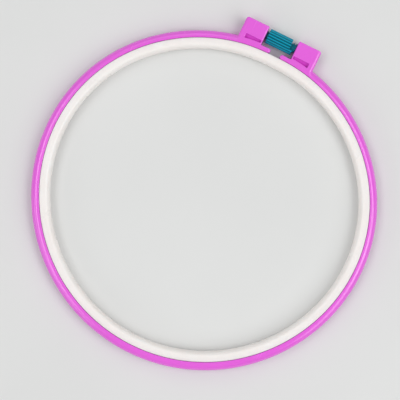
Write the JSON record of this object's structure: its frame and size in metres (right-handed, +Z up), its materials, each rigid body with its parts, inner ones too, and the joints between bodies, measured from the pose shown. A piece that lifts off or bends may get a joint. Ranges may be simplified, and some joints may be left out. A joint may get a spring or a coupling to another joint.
{
  "type": "embroidery hoop",
  "caption": "Plastic embroidery hoop: split outer ring with a lug clamp, closed inner ring, and a fluted screw that draws the outer ring shut to hold cloth between the rings.",
  "frame": {"origin": "under the middle of the whole hoop, lug clamp included, on the surface that it lies on", "axes": "+Z up through the rings, +Y from the middle towards the clamp, +X along the adjusting screw"},
  "size_m": [0.2226, 0.2263, 0.0105],
  "materials": {
    "pink_plastic": "moulded plastic with a soft gloss",
    "cream_plastic": "moulded plastic with a soft gloss",
    "teal_plastic": "moulded plastic with a soft gloss"
  },
  "bodies": {
    "outer_ring": {"outer_ring": "pink_plastic"},
    "inner_ring": {"inner_ring": "cream_plastic"},
    "adjusting_screw": {"adjusting_screw": "teal_plastic"}
  },
  "joints": [
    {"name": "screw_turn", "type": "hinge", "parent": "outer_ring", "child": "adjusting_screw", "pos_m": [-0.00118, 0.10823, 0.00525], "axis": [1, 0, 0], "range_deg": [-1440, 250]},
    {"name": "inner_ring_lift", "type": "slide", "parent": "outer_ring", "child": "inner_ring", "axis": [0, 0, 1], "range_m": [0, 0.02]}
  ]
}
